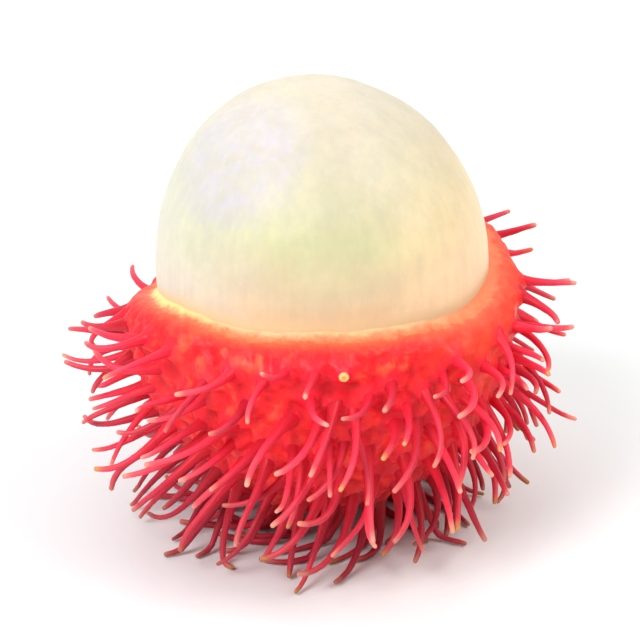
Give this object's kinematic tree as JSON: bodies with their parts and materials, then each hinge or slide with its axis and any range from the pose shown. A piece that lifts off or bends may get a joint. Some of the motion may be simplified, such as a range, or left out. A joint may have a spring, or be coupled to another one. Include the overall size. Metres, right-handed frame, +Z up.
{
  "type": "opened rambutan",
  "caption": "Ripe rambutan with the top half of its rind taken off: an egg of white flesh standing in a cup of red rind with soft curling spines.",
  "frame": {"origin": "on the surface that the fruit stands on, under the middle of its outline with the spines", "axes": "+Z up along the fruit's axis towards its peeled end; -Y is the front, where the cut edge of the rind is level; it rises at the back right and dips at the back left"},
  "size_m": [0.052, 0.0526, 0.0467],
  "materials": {
    "rind_skin": "bumpy crimson to orange-red fruit skin with crimson-pink spines, pale tips and a cream cut edge",
    "aril_flesh": "moist translucent cream-white flesh with a soft gloss"
  },
  "bodies": {
    "root": {"rind": "rind_skin", "aril": "aril_flesh"}
  },
  "joints": []
}
